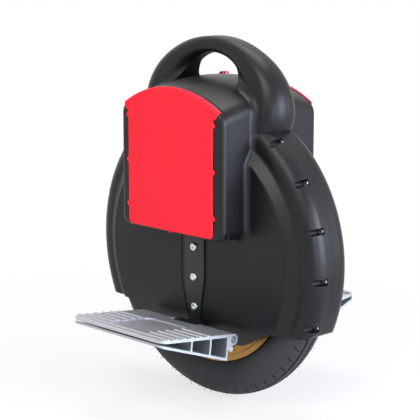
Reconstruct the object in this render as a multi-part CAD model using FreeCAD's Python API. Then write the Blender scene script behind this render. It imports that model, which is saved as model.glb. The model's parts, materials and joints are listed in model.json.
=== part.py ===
# Electric unicycle: a motor wheel in a casing of two halves, with a carry handle,
# padded side boxes and two folding pedals.
# Millimetres, +Z up, +X forward, origin on the floor under the wheel.
import FreeCAD, Part
import math
import os

os.makedirs("parts", exist_ok=True)

V = FreeCAD.Vector
along_x = V(1, 0, 0)
along_y = V(0, 1, 0)
along_z = V(0, 0, 1)

# Fits
running_gap = 0.05
seat_gap = 0.15
seam_gap = 0.3
air_gap = 1.0
overrun = 40.0

# Tyre and tube
tyre_radius = 203.0
tyre_width = 54.0
tyre_height = 51.0
tyre_wall = 4.5
tread_groove_width = 2.6
tread_groove_depth = 2.2
tread_groove_pitch = 9.0
sipe_count = 60
sipe_width = 1.6
sipe_length = 13.0
sipe_slant = 28.0

# Wheel rim, which is also the rotor ring
flange_height = 6.0
flange_thick = 3.0
rim_width = 40.0
rim_well_depth = 6.0
rim_depth = 32.0
valve_radius = 4.0
valve_length = 24.0

# Motor
magnet_count = 30
magnet_thick = 4.4
magnet_space = 1.6
tooth_count = 27
tooth_width_share = 0.414
tooth_head = 3.2
tooth_head_space = 3.0
stator_width = 26.0
stator_yoke = 14.0
coil_depth = 18.0
coil_fill_share = 0.72
carrier_thick = 12.0
carrier_hole_count = 6
carrier_hole_share = 0.377
motor_cover_thick = 4.0
motor_cover_margin = 8.0
cover_hub_radius = 25.0
cover_lip = 1.5
cover_screw_count = 8
cover_screw_inset = 9.0
cover_screw_radius = 2.5
cover_screw_length = 12.0
bearing_radius = 17.5
bearing_width = 11.0
axle_radius = 10.0
axle_journal = 7.5
axle_end_radius = 6.0

# Casing
case_lift = 4.0
case_room = 12.0
case_rim_width = 69.0
case_rim_turn = 20.0
case_side_width = 90.0
case_band = 44.0
case_bevel = 15.0
case_flat_turn = 5.0
case_valley_turn = 8.0
case_wall = 3.0
tuck_drop = 53.0
tuck_radius = 170.0
skirt_drop = 85.0
skirt_reach = 140.0
skirt_turn = 25.0
skirt_lip_turn = 12.0
apron_drop = 115.0
apron_reach = 80.0
apron_turn = 30.0

# Screw slots along the casing rim
slot_count = 5
slot_first_angle = 51.5
slot_pitch_angle = 18.0
slot_depth = 9.0
slot_radius = 4.5
slot_inset = 11.0
slot_wall = 2.0
shell_screw_radius = 2.0
shell_screw_head = 3.6
shell_screw_head_height = 2.8
shell_screw_reach = 12.0

# Side boxes under one domed top
box_half_length = 100.0
box_bottom_rise = 39.0
box_bottom_turn = 14.0
box_top_rise = 30.0
box_top_turn = 22.0
dome_radius_x = 190.0
dome_radius_y = 306.0
box_flare = 8.0
lid_start = 82.0
lid_face = 90.5
lid_turn = 7.0
lid_wall = 2.5

# Leg pads
pad_thick = 4.0
pad_half_length = 83.0
pad_bottom_lift = 2.0
pad_crown = 1.6
pad_tab_radius = 3.6
pad_tab_thick = 2.0
pad_tab_first = 30.0
pad_tab_pitch = 62.0
pad_tab_count = 3

# Carry handle
handle_rise = 53.0
handle_spring_drop = 42.0
handle_outer = 131.0
handle_inner = 68.0
handle_bar = 22.0
handle_top_width = 36.0
handle_leg_width = 62.0
handle_foot_drop = 48.0
handle_foot_outer = 94.0
handle_foot_inner = 62.0
handle_turn_share = 0.88
handle_steps = 12
handle_hollow = 12.0
grip_length = 66.0
grip_width = 20.0
grip_depth = 3.0

# Pedal hangers
hanger_thick = 6.0
hanger_proud = 1.5
hanger_width = 38.0
hanger_foot_width = 16.0
hanger_foot_rise = 25.0
hanger_arm_width = 26.0
hanger_taper_drop = 33.0
hanger_top_rise = 33.0
hanger_boss_margin = 7.0
channel_margin = 8.0
channel_depth = 0.8
hanger_screw_rise = 14.0
hanger_screw_pitch = 42.5
hanger_screw_count = 3
hanger_screw_radius = 3.0
hanger_screw_head = 5.6
hanger_screw_head_height = 3.2
hanger_screw_socket = 2.0
axle_socket_wall = 2.0
knuckle_half_width = 25.0

# Pedals, drawn in the plane across the hinge
hinge_out = 61.0
hinge_drop = 97.5
pedal_tilt = 6.6
pedal_length = 184.0
barrel_radius = 8.0
pin_radius = 5.0
pin_recess = 7.0
washer_thick = 1.2
pedal_root = 9.0
pedal_reach = 131.5
pedal_nose = 9.5
pedal_heel = 36.5
pedal_corner = 14.0
pedal_nose_turn = 4.0
deck_thick = 4.2
pedal_wall = 3.2
pedal_web = 2.6
cell_turn = 1.6
web_shares = (0.275, 0.56)
gusset_drop = 13.0
ridge_count = 6
ridge_start = 47.5
ridge_pitch = 14.4
ridge_width = 3.2
ridge_height = 1.6
pocket_half_length = 40.0
pocket_start = 33.0
pocket_end = 118.0
pocket_depth = 2.0
pocket_turn = 12.0

# Electrics
button_x = -37.0
button_y = 48.0
button_radius = 7.0
button_height = 4.5
button_travel = 2.5
button_skirt = 8.0
bezel_radius = 9.2
bezel_height = 1.2
bezel_wall = 1.2
bezel_depth = 14.0
socket_x = 60.0
socket_y = 56.0
socket_radius = 6.6
socket_bore = 5.0
socket_depth = 12.0
socket_flange = 1.2
cap_radius = 8.6
cap_height = 9.0
cap_wall = 1.8
cap_hinge_radius = 1.5
battery_length = 176.0
battery_height = 140.0
battery_thick = 30.0
battery_turn = 8.0
board_length = 160.0
board_height = 100.0
board_thick = 1.6
heat_sink_length = 120.0
heat_sink_height = 80.0
heat_sink_base = 4.0
fin_count = 9
fin_thick = 2.0
fin_depth = 6.0
capacitor_count = 3
capacitor_radius = 8.0
capacitor_length = 12.0
capacitor_pitch = 24.0
tray_gap = 8.0
cable_radius = 2.0
cable_run = 60.0
cable_rise = 50.0
cable_bend = 14.0

# Heights and widths that follow from the sizes above
axle_height = tyre_radius
flange_radius = tyre_radius - tyre_height
rotor_radius = flange_radius - rim_depth
motor_cover_radius = flange_radius - motor_cover_margin
case_height = axle_height + case_lift
case_radius = tyre_radius + case_room
case_flat_radius = case_radius - case_band
tuck_height = axle_height - tuck_drop
skirt_height = axle_height - skirt_drop
apron_height = axle_height - apron_drop
box_bottom = axle_height + box_bottom_rise
box_top = case_height + case_radius + box_top_rise
handle_height = box_top + handle_rise
handle_spring = box_top - handle_spring_drop
hanger_taper_start = axle_height - hanger_taper_drop
hanger_top = axle_height + hanger_top_rise
hanger_screw_first = axle_height + hanger_screw_rise
hinge_height = axle_height - hinge_drop
side_half = case_side_width / 2
case_rim_half = case_rim_width / 2
rim_half = rim_width / 2
seat_radius = flange_radius - flange_height
tooth_tip = rotor_radius - magnet_thick - seat_gap - air_gap
tooth_root = tooth_tip - tooth_head - coil_depth - 2 * seat_gap
core_bore = tooth_root - stator_yoke
tooth_room = tooth_root * math.tan(math.pi / tooth_count)
tooth_half = tooth_width_share * tooth_room
coil_thick = coil_fill_share * (tooth_room - tooth_half)
carrier_hole_radius = carrier_hole_share * (core_bore - axle_radius) / 2
hub_end = rim_half + bearing_width + cover_lip
pedal_half = pedal_length / 2
screw_circle = case_radius - slot_depth + slot_radius
hanger_bed = hanger_thick - hanger_proud
dome_axis = box_top - dome_radius_y
notch_half = knuckle_half_width + washer_thick + 2 * seat_gap


def rounded(points, radii):
    """Closed wire through the points; each corner is an arc of its own radius, or sharp at 0."""
    count = len(points)
    starts = []
    middles = []
    ends = []
    for i in range(count):
        here = points[i]
        back = (points[i - 1] - here).normalize()
        ahead = (points[(i + 1) % count] - here).normalize()
        half = back.getAngle(ahead) / 2
        reach = radii[i] / math.tan(half)
        inward = (back + ahead).normalize()
        starts.append(here + back * reach)
        middles.append(here + inward * (radii[i] / math.sin(half) - radii[i]))
        ends.append(here + ahead * reach)
    edges = []
    for i in range(count):
        if radii[i] > 0:
            edges.append(Part.Arc(starts[i], middles[i], ends[i]).toShape())
        edges.append(Part.makeLine(ends[i], starts[(i + 1) % count]))
    return Part.Wire(edges)


def plate(points, radii, sweep):
    """Rounded outline pushed along a vector."""
    return Part.Face(rounded(points, radii)).extrude(sweep)


def turned(profile, radii, height):
    """Profile of (radius, y) pairs turned round the Y line at a height."""
    points = [V(r, y, height) for r, y in profile]
    return Part.Face(rounded(points, radii)).revolve(V(0, 0, height), along_y, 360)


def ring(inner, outer, y0, y1, height):
    """Plain ring round the Y line."""
    corners = [(inner, y0), (outer, y0), (outer, y1), (inner, y1)]
    return turned(corners, [0, 0, 0, 0], height)


def rod_y(radius, y0, y1, x, z):
    return Part.makeCylinder(radius, y1 - y0, V(x, y0, z), along_y)


def rod_x(radius, x0, x1, y, z):
    return Part.makeCylinder(radius, x1 - x0, V(x0, y, z), along_x)


def block(x0, x1, y0, y1, z0, z1):
    return Part.makeBox(x1 - x0, y1 - y0, z1 - z0, V(x0, y0, z0))


def spun(shape, angle, height):
    """Copy turned up by an angle round the Y line at a height."""
    copy = shape.copy()
    copy.rotate(V(0, 0, height), along_y, -angle)
    return copy


def other_side(shape):
    return shape.mirror(V(0, 0, 0), along_y)


def write(name, shape):
    shape.exportStep("parts/" + name + ".step")


# Tyre: a hollow round section, open to the rim, with grooves and slanted sipes
def oval(centre, half_r, half_y):
    """Ring of oval section round the axle."""
    long_way = V(centre + half_r, 0, axle_height)
    wide_way = V(centre, half_y, axle_height)
    middle = V(centre, 0, axle_height)
    if half_r > half_y:
        curve = Part.Ellipse(long_way, wide_way, middle)
    else:
        curve = Part.Ellipse(wide_way, long_way, middle)
    face = Part.Face(Part.Wire(curve.toShape()))
    return face.revolve(V(0, 0, axle_height), along_y, 360)


def rim_profile(grow):
    seat = seat_radius + grow
    well = seat_radius - rim_well_depth + grow
    lip = rim_half - flange_thick - grow
    bed = lip - flange_height
    well_half = bed - rim_well_depth
    top = flange_radius + grow
    side = rim_half + grow
    half = [(rotor_radius, side), (top, side), (top, lip), (seat, lip), (seat, bed), (well, well_half)]
    return half + [(r, -y) for r, y in reversed(half)]


section_half = (tyre_radius - seat_radius) / 2
section_centre = seat_radius + section_half
tube_half_r = section_half - tyre_wall
tube_half_y = tyre_width / 2 - tyre_wall
bead_gap = rim_half - flange_thick - tyre_wall
rim = turned(rim_profile(0), [0] * len(rim_profile(0)), axle_height)
rim_seat = turned(rim_profile(seat_gap), [0] * len(rim_profile(0)), axle_height)
tyre = oval(section_centre, section_half, tyre_width / 2)
tyre = tyre.cut(oval(section_centre, tube_half_r, tube_half_y))
bead_top = section_centre - tube_half_r / 2
tyre = tyre.cut(ring(rotor_radius, bead_top, -bead_gap / 2, bead_gap / 2, axle_height))
tyre = tyre.cut(rim_seat)


def tread_drop(y):
    """How far the round section falls below the crown at a distance from the middle."""
    share = 2 * y / tyre_width
    return section_half * (1 - math.sqrt(1 - share * share))


grooves = []
for place in (-1, 0, 1):
    y = place * tread_groove_pitch
    floor = tyre_radius - tread_drop(y) - tread_groove_depth
    left = y - tread_groove_width / 2
    grooves.append(ring(floor, tyre_radius + overrun, left, left + tread_groove_width, axle_height))
sipe_y = tread_groove_pitch + tread_groove_width
sipe_floor = tyre_radius - tread_drop(sipe_y + sipe_length / 2) - tread_groove_depth
sipe = block(sipe_floor, tyre_radius + overrun, sipe_y, sipe_y + sipe_length, -sipe_width / 2, sipe_width / 2)
sipe.rotate(V(0, sipe_y, 0), along_x, sipe_slant)
sipe.translate(V(0, 0, axle_height))
for i in range(sipe_count):
    grooves.append(spun(sipe, 360 * i / sipe_count, axle_height))
    grooves.append(spun(other_side(sipe), 360 * (i + 0.5) / sipe_count, axle_height))
tyre = tyre.cut(Part.makeCompound(grooves))
tube = oval(section_centre, tube_half_r - seat_gap, tube_half_y - seat_gap).cut(rim_seat)

# Valve: leaves the rim sideways through its shoulder
valve_place = seat_radius - rim_well_depth - valve_radius
valve_start = rim_half + motor_cover_thick - valve_length
valve = rod_y(valve_radius, valve_start, valve_start + valve_length, valve_place, axle_height)
valve_bore = valve_radius + seat_gap
valve_hole = rod_y(valve_bore, valve_start - seat_gap, rim_half + overrun, valve_place, axle_height)
rim = rim.cut(valve_hole)

# Rotor magnets inside the rim
magnet_out = rotor_radius - seat_gap
magnets = ring(magnet_out - magnet_thick, magnet_out, -stator_width / 2, stator_width / 2, axle_height)
gap_cut = block(tooth_tip, rotor_radius, -rim_half, rim_half, -magnet_space / 2, magnet_space / 2)
gap_cut.translate(V(0, 0, axle_height))
magnets = magnets.cut([spun(gap_cut, 360 * i / magnet_count, axle_height) for i in range(magnet_count)])

# Motor covers with bearing seats, and the screws that hold them to the rim
cover_face = rim_half + motor_cover_thick
hub_bore = (bearing_radius + axle_journal) / 2
cover_profile = [
    (bearing_radius, rim_half),
    (motor_cover_radius, rim_half),
    (motor_cover_radius, cover_face),
    (cover_hub_radius + motor_cover_thick, cover_face),
    (cover_hub_radius, hub_end),
    (hub_bore, hub_end),
    (hub_bore, hub_end - cover_lip),
    (bearing_radius, hub_end - cover_lip),
]
cover_turns = [0, 0, motor_cover_thick / 4, cover_lip, cover_lip, 0, 0, 0]
motor_cover = turned(cover_profile, cover_turns, axle_height)
cover_screw_ring = motor_cover_radius - cover_screw_inset
head_height = cover_screw_radius
shank = rod_y(cover_screw_radius, cover_face - cover_screw_length, cover_face, cover_screw_ring, axle_height)
head = rod_y(2 * cover_screw_radius, cover_face, cover_face + head_height, cover_screw_ring, axle_height)
cover_screw = shank.fuse(head)
screw_hole = rod_y(
    cover_screw_radius + running_gap,
    cover_face - cover_screw_length - seat_gap,
    cover_face + overrun,
    cover_screw_ring,
    axle_height,
)
spin_steps = [360 * (i + 0.5) / cover_screw_count for i in range(cover_screw_count)]
screw_holes = Part.makeCompound([spun(screw_hole, a, axle_height) for a in spin_steps])
cover_screws = [spun(cover_screw, a, axle_height) for a in spin_steps]
motor_cover = motor_cover.cut(screw_holes)
right_motor_cover = other_side(motor_cover)
left_motor_cover = motor_cover.cut(valve_hole)
rim = rim.cut([screw_holes, other_side(screw_holes)])
bearing = ring(
    axle_journal + running_gap,
    bearing_radius - running_gap,
    rim_half,
    rim_half + bearing_width - seat_gap,
    axle_height,
)

# Axle: thick under the stator, journals in the bearings, thin ends in the hangers
axle_end = side_half + hanger_proud - axle_socket_wall - seat_gap
journal_end = side_half - hanger_bed - case_wall
axle = rod_y(axle_radius, -rim_half + seat_gap, rim_half - seat_gap, 0, axle_height)
axle = axle.fuse(rod_y(axle_journal, -journal_end + seat_gap, journal_end - seat_gap, 0, axle_height))
axle = axle.fuse(rod_y(axle_end_radius, -axle_end, axle_end, 0, axle_height)).removeSplitter()

# Stator: carrier on the axle, core with teeth, one coil on each tooth
carrier_half = carrier_thick / 2
carrier = ring(axle_radius + running_gap, core_bore - running_gap, -carrier_half, carrier_half, axle_height)
hole_circle = (axle_radius + core_bore) / 2
carrier_hole = rod_y(carrier_hole_radius, -carrier_thick, carrier_thick, hole_circle, axle_height)
hole_step = 360 / carrier_hole_count
carrier = carrier.cut([spun(carrier_hole, i * hole_step, axle_height) for i in range(carrier_hole_count)])
stator_half = stator_width / 2
core = ring(core_bore, tooth_root, -stator_half, stator_half, axle_height)
tooth = block(tooth_root - seat_gap, tooth_tip - seat_gap, -stator_half, stator_half, -tooth_half, tooth_half)
tooth.translate(V(0, 0, axle_height))
tip_ring = ring(tooth_tip - tooth_head, tooth_tip, -stator_half, stator_half, axle_height)
tip_gap = block(core_bore, rotor_radius, -rim_half, rim_half, -tooth_head_space / 2, tooth_head_space / 2)
tip_gap.translate(V(0, 0, axle_height))
teeth_steps = [360 * i / tooth_count for i in range(tooth_count)]
half_step = 180 / tooth_count
tip_ring = tip_ring.cut([spun(tip_gap, a + half_step, axle_height) for a in teeth_steps])
core = core.fuse([spun(tooth, a, axle_height) for a in teeth_steps] + [tip_ring]).removeSplitter()
coil_low = tooth_root + seat_gap
coil_in = tooth_half + seat_gap
coil_out = coil_in + coil_thick
coil_end = stator_half + seat_gap
coil_tail = coil_end + coil_thick
coil_top = math.sqrt((tooth_tip - tooth_head) ** 2 - coil_out ** 2) - seat_gap
coil = block(coil_low, coil_top, -coil_tail, coil_tail, -coil_out, coil_out)
coil = coil.makeFillet(coil_thick / 2, [e for e in coil.Edges if e.BoundBox.XLength > coil_depth / 2])
coil = coil.cut(block(coil_low, coil_top, -coil_end, coil_end, -coil_in, coil_in))
coil.translate(V(0, 0, axle_height))
coils = [spun(coil, a, axle_height) for a in teeth_steps]


# Casing: one half is drawn on the left, +Y
def case_disc(inset):
    """Half of the round casing, made smaller all over by an inset."""
    fall = side_half - case_rim_half
    lean = math.atan2(fall, case_bevel)
    shift = inset * math.tan(lean / 2)
    flat = case_flat_radius - shift
    bevel = case_flat_radius + case_bevel - shift
    profile = [
        (0, 0),
        (0, side_half - inset),
        (flat, side_half - inset),
        (bevel, case_rim_half - inset),
        (case_radius - inset, case_rim_half - inset),
        (case_radius - inset, 0),
    ]
    radii = [0, 0, case_flat_turn - inset, case_valley_turn + inset, case_rim_turn - inset, 0]
    return turned(profile, radii, case_height)


def tuck(inset, reach):
    """Prism whose side runs straight down, then tucks in towards the floor."""
    radius = tuck_radius - inset
    middle = side_half - tuck_radius
    drop = tuck_height - apron_height + case_wall
    angle = math.asin(drop / radius)
    top = V(-reach, middle + radius, box_top)
    bend = V(-reach, middle + radius, tuck_height)
    half_way = V(-reach, middle + radius * math.cos(angle / 2), tuck_height - radius * math.sin(angle / 2))
    low = V(-reach, middle + radius * math.cos(angle), tuck_height - drop)
    low_in = V(-reach, 0, tuck_height - drop)
    top_in = V(-reach, 0, box_top)
    edges = [Part.makeLine(top, bend), Part.Arc(bend, half_way, low).toShape()]
    edges += [Part.makeLine(low, low_in), Part.makeLine(low_in, top_in), Part.makeLine(top_in, top)]
    return Part.Face(Part.Wire(edges)).extrude(V(2 * reach, 0, 0))


def dome(inset):
    """Doubly curved solid that ends in the crown of the casing."""
    reach = box_half_length + box_top_turn
    radius = dome_radius_x - inset
    middle = box_top - dome_radius_x
    rise = math.sqrt(radius * radius - reach * reach)
    left = V(-reach, 0, middle + rise)
    right = V(reach, 0, middle + rise)
    edges = [Part.Arc(left, V(0, 0, middle + radius), right).toShape()]
    edges.append(Part.makeLine(right, V(reach, 0, dome_axis)))
    edges.append(Part.makeLine(V(reach, 0, dome_axis), V(-reach, 0, dome_axis)))
    edges.append(Part.makeLine(V(-reach, 0, dome_axis), left))
    face = Part.Face(Part.Wire(edges))
    span = math.degrees(math.asin(2 * lid_face / dome_radius_y))
    face.rotate(V(0, 0, dome_axis), along_x, span / 2)
    return face.revolve(V(0, 0, dome_axis), along_x, -span * 3 / 2)


def box_form(inset, y0, y1):
    """Domed box between two widths, made smaller all over by an inset."""
    length = box_half_length - inset
    low = box_bottom + inset
    turn = box_bottom_turn - inset
    corners = [V(-length, y0, low), V(length, y0, low), V(length, y0, box_top), V(-length, y0, box_top)]
    form = plate(corners, [turn, turn, 0, 0], V(0, y1 - y0, 0)).common(dome(inset))
    ends = []
    for edge in form.Edges:
        box = edge.BoundBox
        across_box = box.XLength < running_gap and box.YLength > (y1 - y0) / 2
        if across_box and box.ZMin > box_bottom + box_bottom_turn:
            ends.append(edge)
    return form.makeFillet(box_top_turn - inset, ends)


def dome_point(x, y):
    """Point on the crown and the direction straight out of it."""
    hoop = math.sqrt(dome_radius_x ** 2 - x * x)
    arm = dome_radius_y - dome_radius_x + hoop
    rise = math.sqrt(arm * arm - y * y)
    out = V(x, hoop * y / arm, hoop * rise / arm)
    return V(x, y, dome_axis + rise), out.normalize()


def meeting_edges(whole, first, second):
    """Edges of a fused shape that lie on faces of both the forms it was fused from."""
    found = []
    for edge in whole.Edges:
        middle = Part.Vertex(edge.valueAt((edge.FirstParameter + edge.LastParameter) / 2))
        if second.Shells[0].distToShape(middle)[0] > running_gap / 2:
            continue
        if first.Shells[0].distToShape(middle)[0] < running_gap / 2:
            found.append(edge)
    return found


def case_form(inset):
    """Half of the casing: disc and box, with a hollow root where the box rises from the disc."""
    disc = case_disc(inset).common(tuck(inset, case_radius + overrun))
    box = box_form(inset, 0, lid_start)
    form = disc.fuse(box)
    root = []
    for edge in meeting_edges(form, disc, box):
        place = edge.BoundBox
        in_box = place.XLength < 2 * box_half_length and place.ZMin > box_bottom - box_flare
        if place.YMax > seam_gap and in_box:
            root.append(edge)
    return form.makeFillet(box_flare + inset, root)


def skirt():
    """Space below the casing: the skirt line with an apron down to the pedals."""
    y = -overrun - side_half
    far = case_radius + overrun
    floor = -overrun
    lip_drop = case_height - skirt_height - skirt_lip_turn
    lip_angle = math.asin(lip_drop / (case_radius - skirt_lip_turn))
    slip = (case_height - skirt_height - case_radius * math.sin(lip_angle)) / math.cos(lip_angle)
    lip = V(case_radius * math.cos(lip_angle) - slip * math.sin(lip_angle), y, skirt_height)
    rise = V(math.sin(lip_angle), 0, math.cos(lip_angle)) * overrun
    half = [V(far, y, floor), V(far, y, skirt_height), lip + rise, lip]
    half += [V(skirt_reach, y, skirt_height), V(apron_reach, y, apron_height)]
    mirrored = [V(-p.x, p.y, p.z) for p in reversed(half)]
    radii = [0, 0, 0, skirt_lip_turn, skirt_turn, apron_turn]
    return plate(half + mirrored, radii + radii[::-1], V(0, -2 * y, 0))


# Carry handle: closed sections swung from one foot over the top to the other
def handle_section(inner, outer, half_width, grow):
    """Closed section with rounded corners, from its inner edge to its outer edge."""
    way = outer - inner
    half = way.Length / 2
    turn = handle_turn_share * min(half, half_width) + grow
    middle = (inner + outer) * 0.5
    along = way.normalize() * (half + grow)
    side = along_y * (half_width + grow)
    corners = [middle + along + side, middle - along + side, middle - along - side, middle + along - side]
    return rounded(corners, [turn] * 4)


def handle_arch(grow):
    """The whole arch, made larger all over by a growth."""
    rise_out = handle_height - handle_spring
    rise_in = rise_out - handle_bar
    foot = handle_spring - handle_foot_drop
    leg = handle_leg_width / 2
    top = handle_top_width / 2
    stops = [handle_section(V(handle_foot_inner, 0, foot), V(handle_foot_outer, 0, foot), leg, grow)]
    for i in range(handle_steps + 1):
        turn = math.pi * i / handle_steps
        c = math.cos(turn)
        s = math.sin(turn)
        inner = V(handle_inner * c, 0, handle_spring + rise_in * s)
        outer = V(handle_outer * c, 0, handle_spring + rise_out * s)
        stops.append(handle_section(inner, outer, leg + (top - leg) * s, grow))
    stops.append(handle_section(V(-handle_foot_inner, 0, foot), V(-handle_foot_outer, 0, foot), leg, grow))
    return Part.makeLoft(stops, True, False)


def hand_window():
    """Space for the hand: half an oval under the bar, pushed through the arch."""
    long_way = handle_height - handle_bar - handle_spring - seam_gap
    wide_way = handle_inner - seam_gap
    middle = V(0, -lid_start, handle_spring)
    if long_way > wide_way:
        curve = Part.Ellipse(middle + along_z * long_way, middle + along_x * wide_way, middle)
    else:
        curve = Part.Ellipse(middle + along_x * wide_way, middle + along_z * long_way, middle)
    return Part.Face(Part.Wire(curve.toShape())).extrude(along_y * (2 * lid_start))


saddle = case_disc(-seat_gap)
arch = handle_arch(0)
whole_box = box_form(0, -lid_start, lid_start)
handle = whole_box.fuse(arch)
leg_foot = handle_spring - handle_foot_drop
leg_edges = [e for e in meeting_edges(handle, whole_box, arch) if e.BoundBox.ZMax > leg_foot + seam_gap]
handle = handle.makeFillet(handle_hollow, leg_edges)
outside = case_form(-seat_gap)
handle = handle.cut([outside, other_side(outside), hand_window()])
handle = handle.fuse(arch.cut([saddle, other_side(saddle)]))
handle = handle.removeSplitter()
grip_floor = handle_height - handle_bar - overrun
grip_roof = handle_height - handle_bar + grip_depth
grip_half = grip_length / 2
grip = handle.common(block(-grip_half, grip_half, -grip_width / 2, grip_width / 2, grip_floor, grip_roof))
grip_space = grip_half + seat_gap
grip_side = grip_width / 2 + seat_gap
handle = handle.cut(block(-grip_space, grip_space, -grip_side, grip_side, grip_floor, grip_roof + seat_gap))


# Pedal hanger: a tapered strip let into the casing side, with a knuckle at its foot
def hanger_outline(grow, depth):
    """Front view of the hanger, pushed through the casing side."""
    top = hanger_width / 2 + grow
    foot = hanger_foot_width / 2 + grow
    low = apron_height - overrun
    bend = apron_height + hanger_foot_rise
    high = hanger_top + seat_gap
    half = [V(foot, 0, low), V(foot, 0, bend), V(top, 0, hanger_taper_start), V(top, 0, high)]
    mirrored = [V(-p.x, p.y, p.z) for p in reversed(half)]
    return plate(half + mirrored, [0] * (2 * len(half)), V(0, depth, 0))


hanger_front = tuck(-hanger_proud, hanger_width)
hanger_back = tuck(hanger_bed, hanger_width + hanger_boss_margin)
strip = hanger_front.cut(hanger_back).common(hanger_outline(0, side_half + overrun))
groove = hanger_outline(seat_gap, side_half + overrun).cut(tuck(hanger_bed + seat_gap, hanger_width))
boss_back = tuck(hanger_bed + case_wall, 2 * hanger_width)
boss = tuck(case_wall / 2, hanger_width).cut(boss_back)
boss = boss.common(hanger_outline(hanger_boss_margin, side_half))
channel = hanger_outline(channel_margin, side_half + overrun).cut(tuck(channel_depth, 2 * hanger_width))


def across(u, v):
    """Point in the tilted plane of the left pedal, u outwards and v up from the hinge line."""
    tilt = math.radians(pedal_tilt)
    y = hinge_out + u * math.cos(tilt) - v * math.sin(tilt)
    z = hinge_height + u * math.sin(tilt) + v * math.cos(tilt)
    return V(0, y, z)


def bar_across(corners, radii, x0, x1):
    """Outline in the pedal plane pushed along the hinge line."""
    points = [across(u, v) + V(x0, 0, 0) for u, v in corners]
    return plate(points, radii, V(x1 - x0, 0, 0))


arm_in = side_half - tuck_radius + math.sqrt(tuck_radius ** 2 - (tuck_height - hinge_height) ** 2)
arm_low = hinge_height - barrel_radius
arm_high = hinge_height + barrel_radius - ridge_height
arm_half = hanger_arm_width / 2
arm_back = arm_in - hanger_bed
arm = block(-arm_half, arm_half, arm_back, hinge_out, arm_low, arm_high).cut(hanger_back)
arm_gap = arm_half + seat_gap
arm_way = block(-arm_gap, arm_gap, arm_back - seat_gap, hinge_out, arm_low - overrun, arm_high + seat_gap)
arm_way = arm_way.cut(tuck(hanger_bed + seat_gap, hanger_width))
shoulder_in = (side_half + hinge_out) / 2 - barrel_radius / 2
shoulder = block(-knuckle_half_width, knuckle_half_width, shoulder_in, hinge_out, arm_low, arm_high)
knuckle = rod_x(barrel_radius, -knuckle_half_width, knuckle_half_width, hinge_out, hinge_height)
stop_face = pedal_root - seam_gap
stop_low = barrel_radius - pedal_heel + pedal_wall
stop_back = -barrel_radius - gusset_drop / 2
stop_corners = [(-barrel_radius, 0), (stop_face, -barrel_radius), (stop_face, stop_low), (0, stop_back)]
stop = bar_across(stop_corners, [0, 0, 0, 0], -knuckle_half_width, knuckle_half_width)
hanger = strip.fuse([arm, shoulder, knuckle, stop])
pin_hole = rod_x(pin_radius + running_gap, -pedal_half, pedal_half, hinge_out, hinge_height)
socket_end = side_half + hanger_proud - axle_socket_wall
axle_hole = rod_y(axle_end_radius + running_gap, 0, socket_end, 0, axle_height)
hanger = hanger.cut([pin_hole, axle_hole])
hanger_screw_list = []
screw_bores = []
spot_faces = []
for i in range(hanger_screw_count):
    z = hanger_screw_first - i * hanger_screw_pitch
    fall = max(0, tuck_height - z + hanger_screw_head)
    seat = side_half + hanger_proud - tuck_radius + math.sqrt(tuck_radius ** 2 - fall ** 2)
    screw_start = seat - hanger_thick - case_wall
    shank = rod_y(hanger_screw_radius, screw_start + seat_gap, seat, 0, z)
    head = rod_y(hanger_screw_head, seat, seat + hanger_screw_head_height, 0, z)
    brow = [e for e in head.Edges if abs(e.CenterOfMass.y - seat - hanger_screw_head_height) < running_gap]
    head = head.makeFillet(hanger_screw_head_height / 2, brow)
    key = rod_y(hanger_screw_socket, seat + hanger_screw_head_height / 2, seat + overrun, 0, z)
    hanger_screw_list.append(head.fuse(shank).cut(key))
    screw_bores.append(rod_y(hanger_screw_radius + running_gap, 0, seat + overrun, 0, z))
    spot_faces.append(rod_y(hanger_screw_head + 2 * seat_gap, seat, seat + overrun, 0, z))
hanger = hanger.cut(screw_bores + spot_faces)

# Half shell: disc and box as one wall, hollow for the wheel and for the electrics
disc = case_disc(0).common(tuck(0, case_radius + overrun))
shell = case_form(0)
well = case_disc(case_wall).common(tuck(case_wall, case_radius + overrun))
box_room = box_form(case_wall, side_half, lid_start + case_wall)
shell = shell.cut([well, box_room])
shell = shell.fuse(boss)
axle_way = rod_y(axle_end_radius + seat_gap, 0, side_half + overrun, 0, axle_height)
seam = block(-2 * case_radius, 2 * case_radius, -overrun, seam_gap / 2, 0, handle_height)
shell = shell.cut([skirt(), channel, groove, arm_way, axle_way, seam, handle_arch(seat_gap)] + screw_bores)

# Screw slots in the right rim, bosses for the screws in the left rim
slot_angles = []
for i in range(slot_count):
    angle = slot_first_angle - i * slot_pitch_angle
    slot_angles += [angle, 180 - angle]
pod_start = slot_inset - slot_wall
pod = rod_y(slot_radius + slot_wall, pod_start, case_rim_half - slot_radius, screw_circle, case_height)
pod = pod.fuse(rod_y(shell_screw_head, 0, pod_start, screw_circle, case_height))
nut_boss = rod_y(shell_screw_head, 0, shell_screw_reach + slot_wall, screw_circle, case_height)
slot_end = case_rim_half + overrun
slot = rod_y(slot_radius, slot_inset, slot_end, screw_circle, case_height)
slot_mouth = block(screw_circle, case_radius + overrun, slot_inset, slot_end, -slot_radius, slot_radius)
slot_mouth.translate(V(0, 0, case_height))
slot = slot.fuse(slot_mouth)
shank = rod_y(shell_screw_radius, -shell_screw_reach, slot_inset, screw_circle, case_height)
head = rod_y(shell_screw_head, slot_inset, slot_inset + shell_screw_head_height, screw_circle, case_height)
shell_screw = shank.fuse(head)
way_radius = shell_screw_radius + running_gap
screw_way = rod_y(way_radius, -shell_screw_reach - seat_gap, slot_inset, screw_circle, case_height)
pods = [spun(pod, a, case_height).common(disc) for a in slot_angles]
nut_bosses = [spun(nut_boss, a, case_height).common(disc) for a in slot_angles]
slots = [spun(slot, a, case_height) for a in slot_angles]
screw_ways = [spun(screw_way, a, case_height) for a in slot_angles]
right_shell = shell.fuse(pods).cut(slots + screw_ways + [seam])
left_ways = [other_side(way) for way in screw_ways]
left_shell = shell.fuse(nut_bosses).cut(left_ways + [seam])
shell_screws = [other_side(spun(shell_screw, a, case_height)) for a in slot_angles]
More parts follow.
